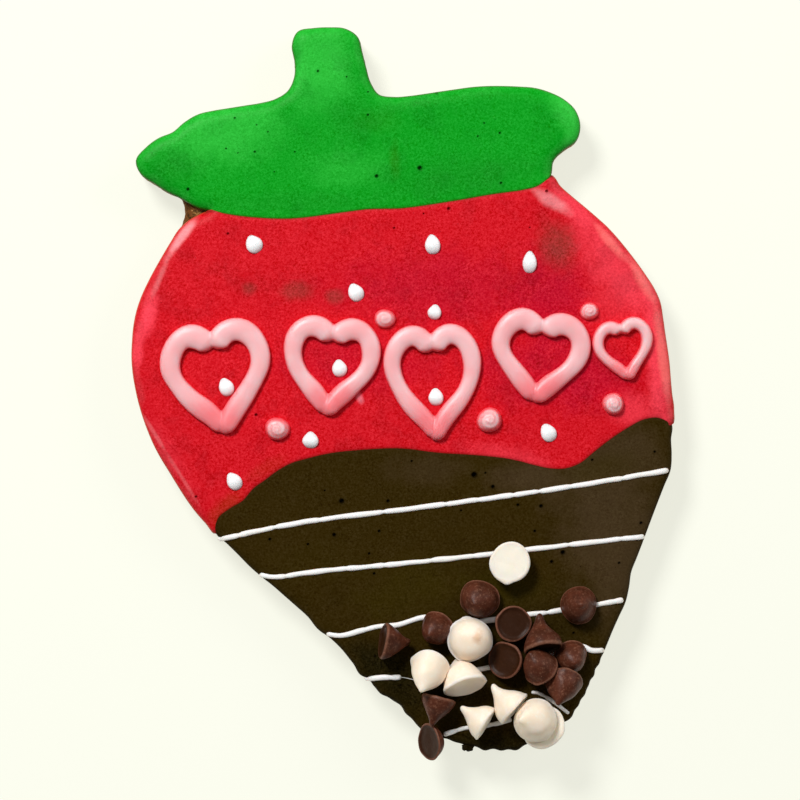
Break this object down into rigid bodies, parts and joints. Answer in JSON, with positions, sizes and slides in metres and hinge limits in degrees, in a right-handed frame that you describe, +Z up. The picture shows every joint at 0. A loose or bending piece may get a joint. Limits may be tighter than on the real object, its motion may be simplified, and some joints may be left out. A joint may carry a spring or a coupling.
{
  "type": "strawberry cookie",
  "caption": "Flat sugar cookie cut as a strawberry with a stem, iced in green, red and chocolate, with drizzle, piped hearts, seeds and chocolate chips.",
  "frame": {"origin": "centre of the cookie's bounding box at the height of its flat underside", "axes": "+Y towards the stem, +X to the right seen from the iced side, +Z up out of the icing"},
  "size_m": [0.0871, 0.1172, 0.0181],
  "materials": {
    "biscuit": "baked sugar cookie, matte and finely crumbly, browned at the rim and underside",
    "green_icing": "set green icing, soft sheen with fine pores",
    "red_icing": "set red icing, soft sheen with a few darker grease marks",
    "chocolate_icing": "set dark chocolate icing, matte with pores",
    "pink_icing": "piped pink icing, smooth and satin",
    "white_icing": "white icing of the drizzle and seeds, smooth and satin",
    "dark_chocolate": "dark chocolate chips, satin with soft gloss on their bases",
    "white_chocolate": "white chocolate chips, waxy satin"
  },
  "bodies": {
    "root": {"biscuit": "biscuit", "icing_green": "green_icing", "icing_red": "red_icing", "icing_chocolate": "chocolate_icing", "piped_heart_01": "pink_icing", "piped_heart_02": "pink_icing", "piped_heart_03": "pink_icing", "piped_heart_04": "pink_icing", "piped_heart_05": "pink_icing", "piped_dot_01": "pink_icing", "piped_dot_02": "pink_icing", "piped_dot_03": "pink_icing", "piped_dot_04": "pink_icing", "piped_dot_05": "pink_icing", "chip_dark_01": "dark_chocolate", "chip_dark_02": "dark_chocolate", "chip_dark_03": "dark_chocolate", "chip_dark_04": "dark_chocolate", "chip_dark_05": "dark_chocolate", "chip_dark_06": "dark_chocolate", "chip_dark_07": "dark_chocolate", "chip_dark_08": "dark_chocolate", "chip_dark_09": "dark_chocolate", "chip_dark_10": "dark_chocolate", "chip_dark_11": "dark_chocolate", "chip_dark_12": "dark_chocolate", "chip_white_01": "white_chocolate", "chip_white_02": "white_chocolate", "chip_white_03": "white_chocolate", "chip_white_04": "white_chocolate", "chip_white_05": "white_chocolate", "chip_white_06": "white_chocolate", "chip_white_07": "white_chocolate", "chip_white_08": "white_chocolate"}
  },
  "joints": []
}
